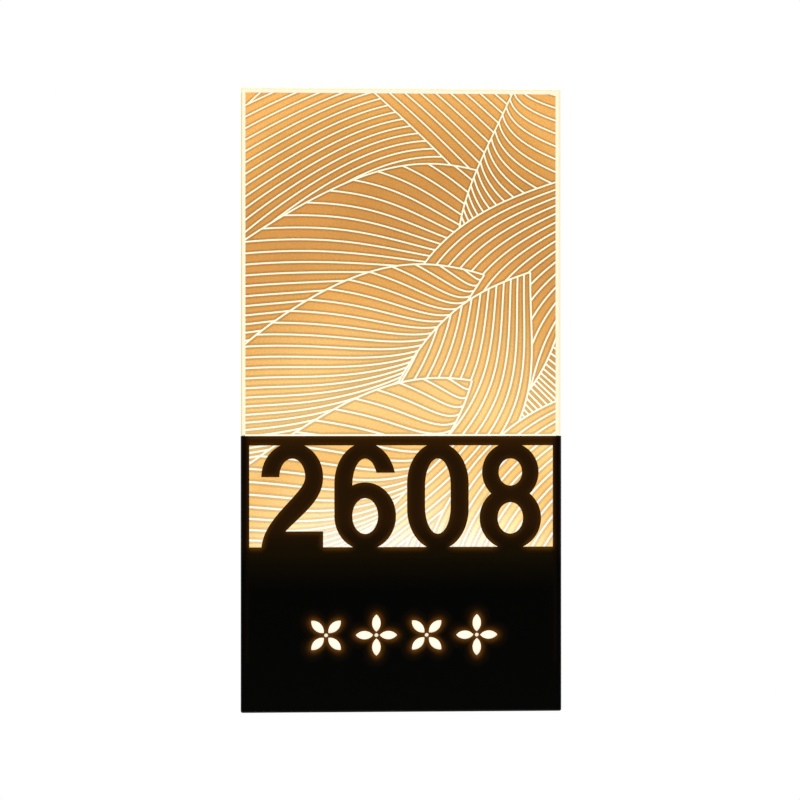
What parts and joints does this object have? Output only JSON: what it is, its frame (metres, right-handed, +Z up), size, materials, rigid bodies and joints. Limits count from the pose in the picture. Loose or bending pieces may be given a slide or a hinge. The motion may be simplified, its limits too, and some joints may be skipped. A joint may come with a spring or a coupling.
{
  "type": "illuminated door sign",
  "caption": "Wall-hung illuminated door sign: clear edge-lit panel on a gold backing, standing in a black steel box with cut-out numerals and lit ornaments.",
  "frame": {"origin": "on the wall plane, midway between the wall bracket's two screw holes", "axes": "+Z up, +X to the right seen from the front, front faces -Y, wall at y = 0"},
  "size_m": [0.15, 0.03, 0.292],
  "materials": {
    "powder_black": "fine-textured black powder coat",
    "tray_black": "satin black powder coat",
    "clear_acrylic": "clear, polished edges, engraved lines lit from the lower edge",
    "gold_sheet": "champagne-gold anodised, fine grain",
    "opal_acrylic": "opal, lit from behind",
    "plain_aluminium": "mill-finished extrusion",
    "white_board": "white solder mask",
    "green_board": "green solder mask",
    "led_package": "white package with yellow phosphor",
    "black_component": "moulded black",
    "capacitor_sleeve": "shrink sleeve",
    "ferrite": "grey ferrite",
    "connector_white": "natural nylon",
    "clear_silicone": "translucent silicone",
    "black_rubber": "soft moulded",
    "zinc_steel": "zinc plated",
    "brass_part": "turned",
    "nylon": "moulded",
    "terminal_body": "moulded, light",
    "lever_plastic": "moulded, dark teal",
    "wire_black": "insulation",
    "wire_white": "insulation",
    "foam": "foam tape"
  },
  "bodies": {
    "wall_bracket": {"wall_bracket": "zinc_steel"},
    "sign_body": {"rear_tray": "tray_black", "light_guide_panel": "clear_acrylic", "backing_panel": "gold_sheet", "led_channel": "plain_aluminium", "channel_pillars": "zinc_steel", "channel_screws": "zinc_steel", "led_strip_board": "white_board", "strip_leds": "led_package", "strip_resistors": "black_component", "strip_connector": "connector_white", "panel_rest_pads": "clear_silicone", "panel_gripper": "clear_silicone", "top_seal": "black_rubber", "motif_led_board": "white_board", "motif_leds": "led_package", "motif_connector": "connector_white", "motif_spacers": "nylon", "motif_screws": "zinc_steel", "driver_board": "green_board", "driver_capacitor": "capacitor_sleeve", "driver_inductor": "ferrite", "driver_chips": "black_component", "driver_connectors": "connector_white", "driver_spacers": "nylon", "driver_screws": "zinc_steel", "terminal_block": "terminal_body", "terminal_contacts": "brass_part", "terminal_pad": "foam", "supply_wires": "wire_white", "strip_wires": "wire_black", "motif_wires": "wire_black", "wire_clip": "nylon", "cable_grommet": "black_rubber", "wall_bumpers": "black_rubber"},
    "front_cover": {"front_cover": "powder_black", "motif_diffuser": "opal_acrylic", "diffuser_studs": "zinc_steel", "diffuser_nuts": "zinc_steel", "cover_screws": "zinc_steel", "cover_nuts": "zinc_steel"},
    "lever_live": {"terminal_lever_live": "lever_plastic"},
    "lever_return": {"terminal_lever_return": "lever_plastic"}
  },
  "joints": [
    {"name": "lift_off", "type": "slide", "parent": "wall_bracket", "child": "sign_body", "axis": [0, 0, 1], "range_m": [0, 0.007]},
    {"name": "cover_pull", "type": "slide", "parent": "sign_body", "child": "front_cover", "axis": [0, -1, 0], "range_m": [0, 0.04]},
    {"name": "lever_live_open", "type": "hinge", "parent": "sign_body", "child": "lever_live", "pos_m": [0.0386, -0.0132, -0.0879], "axis": [0, 0, -1], "range_deg": [0, 85]},
    {"name": "lever_return_open", "type": "hinge", "parent": "sign_body", "child": "lever_return", "pos_m": [0.0386, -0.0132, -0.0941], "axis": [0, 0, -1], "range_deg": [0, 85]}
  ]
}
